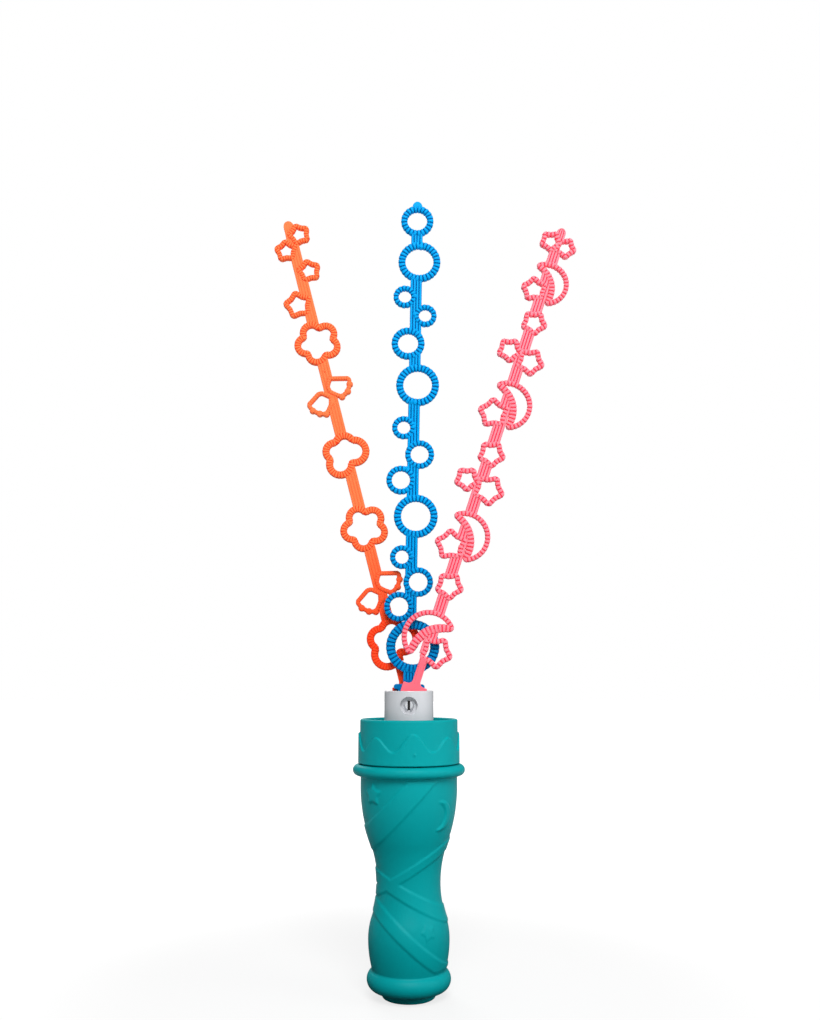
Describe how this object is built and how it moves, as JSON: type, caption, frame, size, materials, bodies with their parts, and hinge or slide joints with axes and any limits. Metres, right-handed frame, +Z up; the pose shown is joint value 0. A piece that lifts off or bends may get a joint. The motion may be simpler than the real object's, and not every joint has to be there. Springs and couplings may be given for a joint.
{
  "type": "bubble wand",
  "caption": "Hand-held bubble wand: a waisted grip with a collar, and a post on which slender wands of ribbed hoops fan out on a pin for dipping and waving.",
  "frame": {"origin": "centre of the foot's flat underside, on the grip's axis", "axes": "+Z up along the grip, +X to the side that the moon wand leans to, +Y from the front wand to the back one"},
  "size_m": [0.1483, 0.05, 0.3674],
  "materials": {
    "grip": "satin",
    "collar": "satin",
    "washer": "matte",
    "holder": "gloss",
    "pin": "gloss",
    "orange": "satin",
    "blue": "satin",
    "pink": "satin"
  },
  "bodies": {
    "grip": {"handle_shell": "grip", "collar": "collar", "sealing_washer": "washer", "wand_holder": "holder", "pivot_pin": "pin"},
    "orange_wand": {"wand_orange": "orange"},
    "blue_wand": {"wand_blue": "blue"},
    "pink_wand": {"wand_pink": "pink"}
  },
  "joints": [
    {"name": "orange_swing", "type": "hinge", "parent": "grip", "child": "orange_wand", "pos_m": [0, 0, 0.1231], "axis": [0, 1, 0], "range_deg": [0, 14.4]},
    {"name": "blue_swing", "type": "hinge", "parent": "grip", "child": "blue_wand", "pos_m": [0, 0, 0.1231], "axis": [0, 1, 0], "range_deg": [-4, 2]},
    {"name": "pink_swing", "type": "hinge", "parent": "grip", "child": "pink_wand", "pos_m": [0, 0, 0.1231], "axis": [0, 1, 0], "range_deg": [-18.2, 0]}
  ]
}
